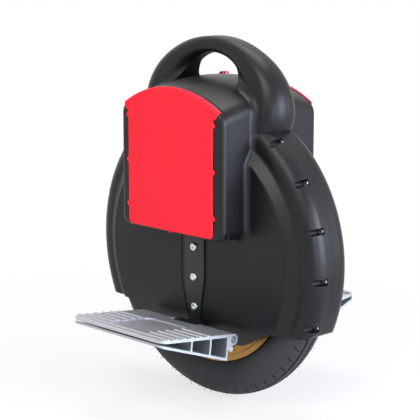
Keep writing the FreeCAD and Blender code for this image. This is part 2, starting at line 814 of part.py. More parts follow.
right_shell = other_side(right_shell)


# Box lid: a shallow pan with a rounded rim
def lid_form(grow, face):
    """Lid block grown all over, out to a face."""
    length = box_half_length + grow
    low = box_bottom - grow
    middle = box_top - dome_radius_x
    arm = dome_radius_y
    top = dome_axis + math.sqrt(arm * arm - lid_start * lid_start) + grow
    radius = top - middle
    turn = box_top_turn + grow
    turn_x = length - turn
    turn_z = middle + math.sqrt((radius - turn) ** 2 - turn_x ** 2)
    meet = V(turn_x, 0, turn_z - middle).normalize() * radius
    bend = (V(turn_x, 0, turn_z - middle).normalize() + along_x).normalize() * turn
    y = V(0, lid_start + seat_gap, 0)
    floor_turn = box_bottom_turn + grow
    low_bend = floor_turn * (1 - math.sqrt(0.5))
    spots = [
        V(-meet.x, 0, middle + meet.z),
        V(0, 0, top),
        V(meet.x, 0, middle + meet.z),
        V(turn_x + bend.x, 0, turn_z + bend.z),
        V(length, 0, turn_z),
        V(length, 0, low + floor_turn),
        V(length - low_bend, 0, low + low_bend),
        V(length - floor_turn, 0, low),
    ]
    p = [s + y for s in spots]
    q = [V(-s.x, s.y, s.z) for s in p]
    edges = [
        Part.Arc(p[0], p[1], p[2]).toShape(),
        Part.Arc(p[2], p[3], p[4]).toShape(),
        Part.makeLine(p[4], p[5]),
        Part.Arc(p[5], p[6], p[7]).toShape(),
        Part.makeLine(p[7], q[7]),
        Part.Arc(q[7], q[6], q[5]).toShape(),
        Part.makeLine(q[5], q[4]),
        Part.Arc(q[4], q[3], p[0]).toShape(),
    ]
    form = Part.Face(Part.Wire(edges)).extrude(V(0, face - lid_start - seat_gap, 0))
    rim_edges = [e for e in form.Edges if e.BoundBox.YMin > face - running_gap]
    return form.makeFillet(lid_turn + grow, rim_edges)


lid = lid_form(0, lid_face).cut(lid_form(-lid_wall, lid_face - lid_wall))

# Leg pad: follows the lid, over its top edge, with small tabs along its sides
pad_low = box_bottom + pad_bottom_lift
pad_face = lid_face + pad_thick
pad_room = block(-pad_half_length, pad_half_length, lid_start + seam_gap, pad_face, pad_low, box_top)
pad = lid_form(pad_thick, pad_face).common(pad_room)
crown_radius = (pad_half_length ** 2 + pad_crown ** 2) / (2 * pad_crown)
crown_y = pad_face - crown_radius
pad = pad.common(Part.makeCylinder(crown_radius, box_top, V(0, crown_y, 0), along_z))
tabs = []
tab_face = lid_face + pad_tab_thick
for i in range(pad_tab_count):
    z = pad_low + pad_tab_first + i * pad_tab_pitch
    tabs.append(rod_y(pad_tab_radius, lid_face - lid_wall, tab_face, pad_half_length, z))
    tabs.append(rod_y(pad_tab_radius, lid_face - lid_wall, tab_face, -pad_half_length, z))
pad = pad.fuse(tabs).cut(lid_form(seat_gap, lid_face + seat_gap)).removeSplitter()

# Pedal: an extruded bar of three cells, with tread ridges and a smooth pocket
deck = barrel_radius
heel = deck - pedal_heel
nose_low = deck - pedal_nose
body_corners = [(pedal_root, deck), (pedal_reach, deck), (pedal_reach, nose_low), (pedal_root, heel)]
pedal = bar_across(body_corners, [0, pedal_nose_turn, pedal_nose_turn, cell_turn], -pedal_half, pedal_half)
bridge_end = pedal_root + pedal_wall / 2
bridge = [(0, deck), (bridge_end, deck), (bridge_end, -gusset_drop), (0, -deck)]
pedal = pedal.fuse(bar_across(bridge, [0, 0, 0, 0], -pedal_half, pedal_half))
pedal = pedal.fuse(rod_x(barrel_radius, -pedal_half, pedal_half, hinge_out, hinge_height))
slope = (nose_low - heel) / (pedal_reach - pedal_root)
wall_rise = pedal_wall * math.sqrt(1 + slope * slope)
ceiling = deck - deck_thick


def cell_floor(u):
    return heel + wall_rise + slope * (u - pedal_root)


span = pedal_reach - pedal_root
web_places = [pedal_root + share * span for share in web_shares]
cell_starts = [pedal_root + pedal_wall] + [w + pedal_web / 2 for w in web_places]
cell_ends = [w - pedal_web / 2 for w in web_places]
for start, end in zip(cell_starts, cell_ends):
    corners = [(start, ceiling), (end, ceiling), (end, cell_floor(end)), (start, cell_floor(start))]
    pedal = pedal.cut(bar_across(corners, [cell_turn] * 4, -pedal_half, pedal_half))
tip = pedal_root + (ceiling - heel - wall_rise) / slope
last = cell_starts[-1]
corners = [(last, ceiling), (tip, ceiling), (last, cell_floor(last))]
pedal = pedal.cut(bar_across(corners, [cell_turn, cell_turn / 2, cell_turn], -pedal_half, pedal_half))
for i in range(ridge_count):
    u = ridge_start + i * ridge_pitch
    low = ridge_width / 2
    high = ridge_width / 4
    crest = deck + ridge_height
    corners = [(u - low, ceiling), (u - low, deck), (u - high, crest)]
    corners += [(u + high, crest), (u + low, deck), (u + low, ceiling)]
    pedal = pedal.fuse(bar_across(corners, [0] * 6, -pedal_half, pedal_half))


def from_above(corners, radii, v0, v1):
    """Plan outline of (x, u) pairs pushed up out of the deck."""
    points = [across(u, v0) + V(x, 0, 0) for x, u in corners]
    return plate(points, radii, across(0, v1) - across(0, v0))


def oblong(half, start, end):
    return [(-half, start), (half, start), (half, end), (-half, end)]


inner_end = -2 * barrel_radius
plan = oblong(pedal_half, inner_end, pedal_reach)
pedal = pedal.common(from_above(plan, [0, 0, pedal_corner, pedal_corner], heel - overrun, deck + overrun))
pocket = oblong(pocket_half_length, pocket_start, pocket_end)
pedal = pedal.cut(from_above(pocket, [pocket_turn] * 4, deck - pocket_depth, deck + overrun))
notch = oblong(notch_half, inner_end, pedal_root)
pedal = pedal.cut(from_above(notch, [0] * 4, heel - overrun, deck + overrun))
pin_bore = rod_x(pin_radius + running_gap, -pedal_half, pedal_half, hinge_out, hinge_height)
pedal = pedal.cut(pin_bore).removeSplitter()
pin = rod_x(pin_radius, pin_recess - pedal_half, pedal_half - pin_recess, hinge_out, hinge_height)
washer_start = knuckle_half_width + seat_gap
washer = rod_x(barrel_radius, washer_start, washer_start + washer_thick, hinge_out, hinge_height)
washer = washer.cut(pin_bore)
washers = [washer, washer.mirror(V(0, 0, 0), along_x)]


# Power button and charge socket stand square on the crown of the left box
def on_dome(shape, x, y):
    """Copy of an upright shape stood on the crown."""
    spot, out = dome_point(x, y)
    copy = shape.copy()
    turn = FreeCAD.Rotation(along_z, out)
    copy.Placement = FreeCAD.Placement(spot, turn)
    return copy


def post(radius, z0, z1):
    return Part.makeCylinder(radius, z1 - z0, V(0, 0, z0), along_z)


bezel_bore = button_radius + running_gap
bezel_barrel = bezel_bore + bezel_wall
sink = bezel_radius ** 2 / (2 * dome_radius_x) + seat_gap
bezel = post(bezel_radius, -sink, bezel_height).fuse(post(bezel_barrel, -bezel_depth, bezel_height))
bezel = bezel.cut(post(bezel_bore, bezel_wall - bezel_depth, bezel_height))
button_top = bezel_height + button_height
button = post(button_radius, -button_skirt, button_top)
button_rim = [e for e in button.Edges if e.BoundBox.ZMin > button_top - running_gap]
button = button.makeFillet(bezel_height, button_rim)
bezel_way = post(bezel_barrel + seat_gap, -box_top_turn, overrun)
bezel_way = bezel_way.fuse(post(bezel_radius + seat_gap, -sink, overrun))
socket_sink = cap_radius ** 2 / (2 * dome_radius_x) + seat_gap
socket_rim = cap_radius - seat_gap
socket_top = cap_height - cap_wall - seam_gap
socket = post(socket_rim, -socket_sink, socket_flange).fuse(post(socket_radius, -socket_depth, socket_top))
socket = socket.cut(post(socket_bore, cap_wall - socket_depth, overrun))
socket_way = post(socket_radius + seat_gap, -box_top_turn, overrun)
socket_way = socket_way.fuse(post(cap_radius, -socket_sink, overrun))
cap = post(cap_radius, socket_flange + seat_gap, cap_height)
cap_rim = [e for e in cap.Edges if e.BoundBox.ZMin > cap_height - running_gap]
cap = cap.makeFillet(cap_wall, cap_rim)
cap_low = socket_flange + seat_gap + cap_hinge_radius
cap_out = cap_radius + cap_hinge_radius
cap_knuckle = Part.makeCylinder(cap_hinge_radius, cap_radius, V(-cap_radius / 2, cap_out, cap_low), along_x)
cap_link = Part.makeBox(cap_radius, cap_out, cap_hinge_radius, V(-cap_radius / 2, 0, cap_low))
cap = cap.fuse([cap_knuckle, cap_link]).cut(post(cap_radius - cap_wall / 2, 0, cap_height - cap_wall))
left_shell = left_shell.cut([on_dome(bezel_way, button_x, button_y), on_dome(socket_way, socket_x, socket_y)])

# Electrics: battery in the right box, board with heat sink in the left box
tray_floor = box_bottom + tray_gap
tray_wall = side_half + seat_gap
half = battery_length / 2
battery = block(-half, half, -tray_wall - battery_thick, -tray_wall, tray_floor, tray_floor + battery_height)
battery_corners = [e for e in battery.Edges if e.BoundBox.YLength > battery_thick / 2]
battery = battery.makeFillet(battery_turn, battery_corners)
half = heat_sink_length / 2
sink_roof = tray_floor + heat_sink_height
fin_end = tray_wall + fin_depth
board_in = fin_end + heat_sink_base
heat_sink = block(-half, half, fin_end, board_in, tray_floor, sink_roof)
fin_step = (heat_sink_length - fin_thick) / (fin_count - 1)
for i in range(fin_count):
    x = -half + i * fin_step
    heat_sink = heat_sink.fuse(block(x, x + fin_thick, tray_wall, board_in, tray_floor, sink_roof))
heat_sink = heat_sink.removeSplitter()
half = board_length / 2
board_roof = tray_floor + board_height
board_out = board_in + board_thick
board = block(-half, half, board_in, board_out, tray_floor, board_roof)
capacitors = []
for i in range(capacitor_count):
    x = (i - (capacitor_count - 1) / 2) * capacitor_pitch
    z = tray_floor + board_height / 2
    capacitors.append(rod_y(capacitor_radius, board_out, board_out + capacitor_length, x, z))

# Motor cable: out of the hollow axle end, up the casing wall and through it to the board
cable_y = (hub_end + journal_end) / 2
turn_x = cable_run + cable_bend
turn_z = axle_height + cable_rise
cable_end = board_in
swing = cable_bend * math.sqrt(0.5)
low_z = axle_height + cable_bend
high_z = turn_z + cable_bend
side_y = cable_y + cable_bend
stops = [
    V(0, cable_y, axle_height),
    V(cable_run, cable_y, axle_height),
    V(cable_run + swing, cable_y, low_z - swing),
    V(turn_x, cable_y, low_z),
    V(turn_x, cable_y, turn_z),
    V(turn_x, side_y - swing, turn_z + swing),
    V(turn_x, side_y, high_z),
    V(turn_x, cable_end, high_z),
]
path = [
    Part.makeLine(stops[0], stops[1]),
    Part.Arc(stops[1], stops[2], stops[3]).toShape(),
    Part.makeLine(stops[3], stops[4]),
    Part.Arc(stops[4], stops[5], stops[6]).toShape(),
    Part.makeLine(stops[6], stops[7]),
]


def cable_tube(radius):
    start = Part.Wire(Part.makeCircle(radius, V(0, cable_y, axle_height), along_x))
    return Part.Wire(path).makePipeShell([start], True, False)


cable = cable_tube(cable_radius)
cable_way = cable_tube(cable_radius + seat_gap)
axle = axle.cut(cable_way)
left_shell = left_shell.cut(cable_way)

write("tyre", tyre)
write("inner_tube", tube)
write("tyre_valve", valve)
write("wheel_rim", rim)
write("rotor_magnets", magnets)
write("left_motor_cover", left_motor_cover)
write("right_motor_cover", right_motor_cover)
write("motor_cover_screws", Part.makeCompound(cover_screws + [other_side(s) for s in cover_screws]))
write("wheel_bearings", Part.makeCompound([bearing, other_side(bearing)]))
write("axle", axle)
write("stator_carrier", carrier)
write("stator_core", core)
write("stator_coils", Part.makeCompound(coils))
write("left_shell", left_shell)
write("right_shell", right_shell)
write("shell_screws", Part.makeCompound(shell_screws))
write("carry_handle", handle)
write("handle_grip", grip)
write("left_lid", lid)
write("right_lid", other_side(lid))
write("left_pad", pad)
write("right_pad", other_side(pad))
write("left_hanger", hanger)
write("right_hanger", other_side(hanger))
write("left_hanger_screws", Part.makeCompound(hanger_screw_list))
write("right_hanger_screws", Part.makeCompound([other_side(s) for s in hanger_screw_list]))
write("left_pedal", pedal)
write("right_pedal", other_side(pedal))
write("left_hinge_pin", pin)
write("right_hinge_pin", other_side(pin))
write("left_hinge_washers", Part.makeCompound(washers))
write("right_hinge_washers", Part.makeCompound([other_side(w) for w in washers]))
write("button_bezel", on_dome(bezel, button_x, button_y))
write("power_button", on_dome(button, button_x, button_y))
write("charge_socket", on_dome(socket, socket_x, socket_y))
write("charge_cap", on_dome(cap, socket_x, socket_y))
write("battery_pack", battery)
write("control_board", board)
write("board_capacitors", Part.makeCompound(capacitors))
write("heat_sink", heat_sink)
write("motor_cable", cable)
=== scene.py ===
# %% [markdown]
# # Electric unicycle
# A motor wheel stands in a black casing of two halves, with a carry handle on top,
# a red leg pad on each side box and two folding pedals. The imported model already
# has every rigid piece in its true place, so this lesson gives the pieces their
# finishes, makes the soft pads and the tyre's moulding hairs, and lights the scene.

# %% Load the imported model
import json
import math

import bmesh
import bpy
import numpy as np
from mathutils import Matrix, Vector


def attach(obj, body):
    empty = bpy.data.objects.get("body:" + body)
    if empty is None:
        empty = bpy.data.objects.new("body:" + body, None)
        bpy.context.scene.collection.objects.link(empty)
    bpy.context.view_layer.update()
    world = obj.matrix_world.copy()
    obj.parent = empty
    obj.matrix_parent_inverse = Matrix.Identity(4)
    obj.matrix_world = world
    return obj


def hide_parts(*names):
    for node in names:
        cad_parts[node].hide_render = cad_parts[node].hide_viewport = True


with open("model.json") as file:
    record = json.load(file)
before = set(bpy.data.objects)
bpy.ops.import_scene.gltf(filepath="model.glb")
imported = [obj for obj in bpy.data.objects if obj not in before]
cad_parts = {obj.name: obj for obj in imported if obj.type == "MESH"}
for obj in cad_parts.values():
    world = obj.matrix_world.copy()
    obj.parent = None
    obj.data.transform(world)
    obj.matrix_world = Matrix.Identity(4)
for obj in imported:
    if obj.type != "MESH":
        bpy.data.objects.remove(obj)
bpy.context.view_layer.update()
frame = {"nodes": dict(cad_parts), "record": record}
nodes = frame["nodes"]
MM = 0.001

# %% [markdown]
# ## Camera
# A camera could be turned by eye until the outlines agree. Here its place comes from
# the outline itself: the tyre is a circle of known size, so its oval gives the viewing
# angle and the distance, and the lens follows from the height of the whole.

# %% Camera
AZIMUTH = math.radians(45.506)
ELEVATION = math.radians(10.808)
DISTANCE = 2.0798
LENS_PIXELS = 1488.56
IMAGE_PIXELS = 420
ASIDE_PIXELS = 8.125
SENSOR = 36
back = Vector((
    math.sin(AZIMUTH) * math.cos(ELEVATION),
    -math.cos(AZIMUTH) * math.cos(ELEVATION),
    math.sin(ELEVATION),
))
wheel_middle = Vector((0, 0, 0.2624))
to_the_right = Vector((math.cos(AZIMUTH), math.sin(AZIMUTH), 0))
aim = wheel_middle - to_the_right * (ASIDE_PIXELS * DISTANCE / LENS_PIXELS)
camera = bpy.data.objects.new("camera", bpy.data.cameras.new("camera"))
camera.data.sensor_width = SENSOR
camera.data.lens = SENSOR * LENS_PIXELS / IMAGE_PIXELS
camera.location = wheel_middle + back * DISTANCE
camera.rotation_euler = (aim - camera.location).to_track_quat("-Z", "Y").to_euler()
bpy.context.scene.collection.objects.link(camera)
bpy.context.scene.camera = camera
bpy.context.scene.view_settings.view_transform = "Standard"
print("camera", [round(c, 3) for c in camera.location], "lens", round(camera.data.lens, 1))

# %% [markdown]
# ## Colours and nodes
# Colours are written as the hex values that a screen shows, and one function turns
# them to the linear light that the renderer works in. One more function adds a shader
# node, with its settings and its links, so that each finish reads as a short list.


# %% Helpers for finishes
PATCH_MM = 60


def linear(hex_colour):
    """sRGB hex to linear RGBA: c/12.92 in the dark, ((c+0.055)/1.055)^2.4 above."""
    parts = np.array([int(hex_colour[i:i + 2], 16) for i in (1, 3, 5)]) / 255
    values = np.where(parts <= 0.04045, parts / 12.92, ((parts + 0.055) / 1.055) ** 2.4)
    return (*values.tolist(), 1.0)


def add(tree, kind, inputs, **settings):
    """Adds one node; an input takes a plain value or another node's output."""
    made = tree.nodes.new(kind)
    for name, value in settings.items():
        setattr(made, name, value)
    for name, value in inputs.items():
        if isinstance(value, bpy.types.NodeSocket):
            tree.links.new(value, made.inputs[name])
        else:
            made.inputs[name].default_value = value
    return made


def finish(name, colour, roughness, metallic=0.0, ior=1.5):
    """A new material of one shader, with its object coordinates in metres."""
    made = bpy.data.materials.new(name)
    made.use_nodes = True
    tree = made.node_tree
    tree.nodes.clear()
    shader = add(tree, "ShaderNodeBsdfPrincipled", {
        "Base Color": linear(colour), "Roughness": roughness, "Metallic": metallic, "IOR": ior,
    })
    out = add(tree, "ShaderNodeOutputMaterial", {})
    tree.links.new(shader.outputs[0], out.inputs["Surface"])
    place = add(tree, "ShaderNodeTexCoord", {}).outputs["Object"]
    return made, tree, shader, place


def grain(tree, shader, place, size_mm, height_mm, rough, colours):
    """Noise of one grain size that lifts the surface and varies its gloss and colour."""
    noise = add(tree, "ShaderNodeTexNoise", {"Vector": place, "Scale": 1 / (size_mm * MM), "Detail": 3.0})
    patch = add(tree, "ShaderNodeTexNoise", {"Vector": place, "Scale": 1 / (PATCH_MM * MM), "Detail": 2.0})
    lift = add(tree, "ShaderNodeBump", {
        "Height": noise.outputs["Fac"], "Distance": height_mm * MM, "Strength": 1.0,
    })
    gloss = add(tree, "ShaderNodeMapRange", {
        "Value": patch.outputs["Fac"], "From Min": 0.3, "From Max": 0.7,
        "To Min": rough[0], "To Max": rough[1],
    })
    tint = add(tree, "ShaderNodeMix", {
        0: patch.outputs["Fac"], 6: linear(colours[0]), 7: linear(colours[1]),
    }, data_type="RGBA")
    tree.links.new(lift.outputs[0], shader.inputs["Normal"])
    tree.links.new(gloss.outputs[0], shader.inputs["Roughness"])
    tree.links.new(tint.outputs[2], shader.inputs["Base Color"])


def seen_by_eye(tree):
    """1 for camera, glossy and transmission rays, so metal shows the background too."""
    path = add(tree, "ShaderNodeLightPath", {})
    seen = path.outputs["Is Camera Ray"]
    for ray in ("Is Glossy Ray", "Is Transmission Ray"):
        seen = add(tree, "ShaderNodeMath", {0: seen, 1: path.outputs[ray]}, operation="MAXIMUM").outputs[0]
    return seen


finishes = {}

# %% [markdown]
# ## Black plastic
# The casing, lids and handle are moulded ABS with a fine spark-eroded grain: black,
# with a soft wide sheen in place of sharp reflections. A plain rough shader would look
# like paper, so a fine bump breaks the light up and the gloss drifts a little.

# %% Moulded ABS
shell, tree, shader, place = finish("moulded_abs", "#141416", 0.42, ior=1.5)
# The real grain is about 0.1 mm; it is drawn at 0.9 mm so that it shows at all.
grain(tree, shader, place, 0.9, 0.03, (0.33, 0.42), ("#0f0f11", "#151517"))
shader.inputs["Specular IOR Level"].default_value = 0.3
finishes["black_shell"] = shell
gloss_black, tree, shader, place = finish("polished_abs", "#101012", 0.16, ior=1.5)
grain(tree, shader, place, 3.0, 0.01, (0.12, 0.2), ("#0e0e10", "#131316"))
finishes["black_gloss"] = gloss_black
red_plastic, tree, shader, place = finish("red_polycarbonate", "#c8102a", 0.22, ior=1.58)
grain(tree, shader, place, 2.0, 0.01, (0.18, 0.26), ("#b80d25", "#d0142e"))
finishes["red_button"] = red_plastic
print("plastics", sorted(finishes))

# %% [markdown]
# ## Rubbers
# The tyre is vulcanised rubber with carbon black: a matt charcoal with hardly any
# gloss. The grip and the socket's cap are softer and smoother elastomers.

# %% Rubbers
tyre_rubber, tree, shader, place = finish("vulcanised_rubber", "#2a2a2c", 0.7, ior=1.52)
# Mould texture of about 0.5 mm is drawn at 1.6 mm so that it shows.
grain(tree, shader, place, 1.6, 0.12, (0.62, 0.8), ("#252527", "#303033"))
finishes["tyre_rubber"] = tyre_rubber
tube_rubber, tree, shader, place = finish("butyl_rubber", "#222224", 0.6, ior=1.52)
grain(tree, shader, place, 2.0, 0.03, (0.5, 0.7), ("#1f1f21", "#272729"))
finishes["tube_rubber"] = tube_rubber
grip_rubber, tree, shader, place = finish("soft_elastomer", "#151517", 0.55, ior=1.5)
grain(tree, shader, place, 1.2, 0.05, (0.48, 0.6), ("#121214", "#1a1a1c"))
finishes["grip_rubber"] = grip_rubber
cap_rubber, tree, shader, place = finish("silicone_rubber", "#5a5c60", 0.5, ior=1.43)
grain(tree, shader, place, 1.5, 0.02, (0.42, 0.58), ("#54565a", "#626468"))
finishes["cap_rubber"] = cap_rubber
print("rubbers", [m for m in finishes if "rubber" in m])

# %% [markdown]
# ## Metals
# The pedals are extruded aluminium: long fine die lines run along them, so their
# sheen spreads crosswise. The rim is cast, turned and gold anodised, which leaves
# circles round the axle. Stretching a noise along the tool's path gives both.


# %% Metals
def tooled(name, colour, dull, sheen, lines, roughness, height_mm):
    """Metal whose noise is stretched by a scale in each direction: the tool's path."""
    made, tree, shader, place = finish(name, colour, roughness, metallic=1.0)
    path = add(tree, "ShaderNodeMapping", {"Vector": place, "Scale": lines})
    noise = add(tree, "ShaderNodeTexNoise", {"Vector": path.outputs[0], "Scale": 1.0, "Detail": 4.0})
    lift = add(tree, "ShaderNodeBump", {
        "Height": noise.outputs["Fac"], "Distance": height_mm * MM, "Strength": 1.0,
    })
    gloss = add(tree, "ShaderNodeMapRange", {
        "Value": noise.outputs["Fac"], "From Min": 0.3, "From Max": 0.7,
        "To Min": roughness - 0.08, "To Max": roughness + 0.08,
    })
    tint = add(tree, "ShaderNodeMix", {
        0: noise.outputs["Fac"], 6: linear(dull), 7: linear(sheen),
    }, data_type="RGBA")
    tree.links.new(lift.outputs[0], shader.inputs["Normal"])
    tree.links.new(gloss.outputs[0], shader.inputs["Roughness"])
    tree.links.new(tint.outputs[2], shader.inputs["Base Color"])
    return made


# Die lines 0.8 mm apart and about 60 mm long, along X
finishes["plain_alloy"] = tooled(
    "extruded_aluminium", "#b9bcc1", "#a6a9ae", "#c9ccd1", (16, 1250, 1250), 0.55, 0.006)
finishes["gold_alloy"] = tooled(
    "gold_anodised_aluminium", "#a07a44", "#906c3a", "#b08a52", (700, 200, 700), 0.36, 0.006)
finishes["bright_steel"] = tooled(
    "zinc_plated_steel", "#d2d4d8", "#c4c6ca", "#dfe1e4", (400, 400, 400), 0.22, 0.004)
finishes["magnet_steel"] = tooled(
    "nickel_plated_magnet", "#a9a7a2", "#9c9a95", "#b5b3ae", (300, 300, 300), 0.3, 0.004)
finishes["lamination_steel"] = tooled(
    "laminated_steel", "#6f7175", "#5f6165", "#7c7e82", (30, 2000, 30), 0.45, 0.05)
finishes["copper_wire"] = tooled(
    "enamelled_copper", "#b4693c", "#9a5730", "#c27747", (200, 1400, 1400), 0.32, 0.08)
black_steel, tree, shader, place = finish("powder_coated_steel", "#141416", 0.4, ior=1.5)
# Orange-peel of powder paint, about 1.5 mm across
grain(tree, shader, place, 1.5, 0.03, (0.34, 0.46), ("#111113", "#19191b"))
finishes["black_steel"] = black_steel
print("metals", [m for m in finishes if "steel" in m or "alloy" in m])

# %% [markdown]
# ## Inner pieces
# The battery, the board and the washers are hidden at rest, but a section or another
# pose may show them, so they have their own finishes: shrink film, glass laminate
# with its solder mask, and plain nylon.

# %% Inner pieces
film, tree, shader, place = finish("shrink_film", "#1d4f8c", 0.3, ior=1.53)
grain(tree, shader, place, 6.0, 0.1, (0.24, 0.36), ("#1a487f", "#215896"))
finishes["battery_wrap"] = film
laminate, tree, shader, place = finish("glass_laminate", "#1e5a34", 0.35, ior=1.55)
grain(tree, shader, place, 0.8, 0.02, (0.3, 0.4), ("#1a5230", "#226339"))
finishes["board_laminate"] = laminate
nylon, tree, shader, place = finish("nylon", "#e4e2da", 0.45, ior=1.53)
grain(tree, shader, place, 1.0, 0.02, (0.4, 0.5), ("#dedcd3", "#e9e7e0"))
finishes["nylon"] = nylon
print("inner", "battery_wrap" in finishes)

# %% [markdown]
# ## Red foam
# The leg pads are moulded EVA foam with a closed skin: one flat strong red, a fine
# pebble in the skin and almost no gloss. A shiny red would pick up white from the
# room and turn pink, so the shader's surface reflection is halved.

# %% Moulded foam
foam, tree, shader, place = finish("moulded_eva_foam", "#fb2637", 0.66, ior=1.45)
grain(tree, shader, place, 1.4, 0.08, (0.6, 0.72), ("#f62334", "#ff2a3b"))
shader.inputs["Specular IOR Level"].default_value = 0.25
finishes["red_pad"] = foam
print("foam", foam.name)

# %% [markdown]
# ## Dress the rigid pieces
# The record names a material slot for every node. Each node's own object takes the
# finish of that slot, and its mesh stays as it came.

# %% Dress the rigid pieces
slots = {s["node"]: s["material_slot"] for s in frame["record"]["subparts"]}
for name, piece in nodes.items():
    piece.data.materials.clear()
    piece.data.materials.append(finishes[slots[name]])
print("dressed", len(nodes), "nodes with", len(set(slots.values())), "finishes")

# %% [markdown]
# ## Leg pads
# Each pad is a thin moulded cushion that hugs the face of the side box: it lies flat
# on the lid, laps over the lid's top edge in a lip, and has small round tabs at its
# sides. Inflated cloth would give a pillow, and this is a moulding, so the pad is one
# height over the lid's surface: full in the middle and rounded down to the lid at
# its outline. The outline carries the tabs, and the lip follows the arched top.

# %% Pad sizes in millimetres
LID_FACE = 90.5
LID_TURN = 7.0
ARCH_MIDDLE = 262.0
ARCH_RADIUS = 178.8
PAD_HALF = 83.0
PAD_LOW = 245.0
PAD_CORNER = 9.0
PAD_THICK = 3.7
PAD_EDGE = 2.6
TAB_RADIUS = 3.6
TAB_HEIGHTS = (274.0, 336.0, 398.0)
FOOT_TAB = 2.4
EAR_REACH = 6.5
EAR_RISE = 11.0
LIP_REACH = 8.5
LIP_TAPER = 10.0
LIFT = 0.25
LID_LOW = 242.0
CROWN_SHARE = 0.28
ACROSS = 181
ALONG = 361
INNER = ARCH_RADIUS - LID_TURN
SHOULDER = ARCH_MIDDLE + math.sqrt(INNER ** 2 - PAD_HALF ** 2)
FACE_SHARE = 0.94


# %% Pad surface
def pad_half_width(height):
    """Half width at a height: straight sides, round lower corners, round tabs and ears.
    w = PAD_HALF - (r - sqrt(r^2 - d^2)) near the foot, + sqrt(t^2 - (z - tab)^2) at a tab,
    + E (3 e^2 - 2 e^3) where e runs from 0 to 1 over the last part below the shoulder."""
    below = np.clip(PAD_LOW + PAD_CORNER - height, 0, PAD_CORNER)
    width = PAD_HALF - PAD_CORNER + np.sqrt(PAD_CORNER ** 2 - below ** 2)
    for tab in TAB_HEIGHTS:
        width = width + np.sqrt(np.clip(TAB_RADIUS ** 2 - (height - tab) ** 2, 0, None))
    ear = np.clip((height - SHOULDER + EAR_RISE) / EAR_RISE, 0, 1)
    return width + EAR_REACH * ear ** 2 * (3 - 2 * ear)


def pad_surface(side):
    """Pad as a height over the lid. The lid's point at (u, s) runs up the flat face,
    then round the top edge: Q + t (cos a face + sin a up), where up leans with the arch.
    The height is T sqrt(1 - (1 - d/e)^2) within e of the outline and T beyond it,
    with a longer e at the lip, which thins towards its end."""
    u = np.sin(np.linspace(-1, 1, ACROSS) * math.pi / 2)[:, None]
    share = np.linspace(0, 1, ALONG)[None, :] / FACE_SHARE
    up_face = np.minimum(share, 1)
    half = pad_half_width(PAD_LOW + up_face * (SHOULDER - PAD_LOW))
    x = u * half
    arch = ARCH_MIDDLE + np.sqrt(INNER ** 2 - x ** 2)
    foot = PAD_LOW - np.sqrt(np.clip(FOOT_TAB ** 2 - x ** 2, 0, None))
    z = foot + up_face * (arch - foot)
    turn = np.clip((share - 1) / (1 / FACE_SHARE - 1), 0, 1) * LIP_REACH / LID_TURN
    lean_x = x / INNER
    lean_z = np.sqrt(1 - lean_x ** 2)
    angle = np.minimum(turn, math.pi / 2)
    past = (turn - angle) * LID_TURN
    lid = np.stack(np.broadcast_arrays(
        x + LID_TURN * np.sin(angle) * lean_x,
        LID_FACE - LID_TURN + LID_TURN * np.cos(angle) - past,
        z + LID_TURN * np.sin(angle) * lean_z,
    ), axis=-1)
    out = np.stack(np.broadcast_arrays(
        np.sin(angle) * lean_x, np.cos(angle), np.sin(angle) * lean_z), axis=-1)
    low_turn = np.clip((LID_TURN + LID_LOW - z) / LID_TURN, 0, 1)
    lid[..., 1] -= LID_TURN * (1 - np.sqrt(1 - low_turn ** 2))
    to_side = half - np.abs(x)
    to_foot = z - foot
    to_lip = np.maximum(LIP_REACH - turn * LID_TURN, 0) + np.maximum(arch - z, 0)
    near = np.minimum(np.minimum(to_side, to_foot) / PAD_EDGE, to_lip / LIP_TAPER)
    edge = np.clip(near, 0, 1)
    crown = 1 - CROWN_SHARE * (x / PAD_HALF) ** 2
    height = PAD_THICK * crown * np.sqrt(1 - (1 - edge) ** 2)
    front = lid + out * (LIFT + height)[..., None]
    rear = lid + out * LIFT
    for points in (front, rear):
        points[..., 1] *= side
    return front * MM, rear * MM


def closed_pair(name, front, rear):
    """Two grids with one outline, joined along it into a closed mesh."""
    count = front.shape[0] * front.shape[1]
    index = np.arange(count).reshape(front.shape[:2])
    corners = [index[:-1, :-1], index[1:, :-1], index[1:, 1:], index[:-1, 1:]]
    quads = np.stack(corners, axis=-1).reshape(-1, 4)
    faces = np.concatenate([quads, quads[:, ::-1] + count])
    mesh = bpy.data.meshes.new(name)
    mesh.from_pydata(np.concatenate([front.reshape(-1, 3), rear.reshape(-1, 3)]), [], faces)
    merge = bmesh.new()
    merge.from_mesh(mesh)
    bmesh.ops.remove_doubles(merge, verts=merge.verts, dist=0.00001)
    bmesh.ops.recalc_face_normals(merge, faces=merge.faces)
    merge.to_mesh(mesh)
    merge.free()
    mesh.shade_smooth()
    piece = bpy.data.objects.new(name, mesh)
    bpy.context.scene.collection.objects.link(piece)
    return piece


for name, side in (("left", 1), ("right", -1)):
    front, rear = pad_surface(side)
    pad = closed_pair(name + "_leg_pad", front, rear)
    pad.data.materials.append(foam)
    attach(pad, "chassis")
    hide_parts(name + "_pad")
    print(pad.name, len(pad.data.polygons), "faces, top", round(front[..., 2].max() / MM, 1))

# %% [markdown]
# ## Moulding hairs
# A new tyre comes out of its mould with thin rubber hairs where air left the mould.
# They could be a particle system, which doesn't export. Here each hair is a tapered
# tube of a few faces, and all of them are worked out at once as arrays: rows of foot
# points round the shoulders, each with a seeded lean and length.

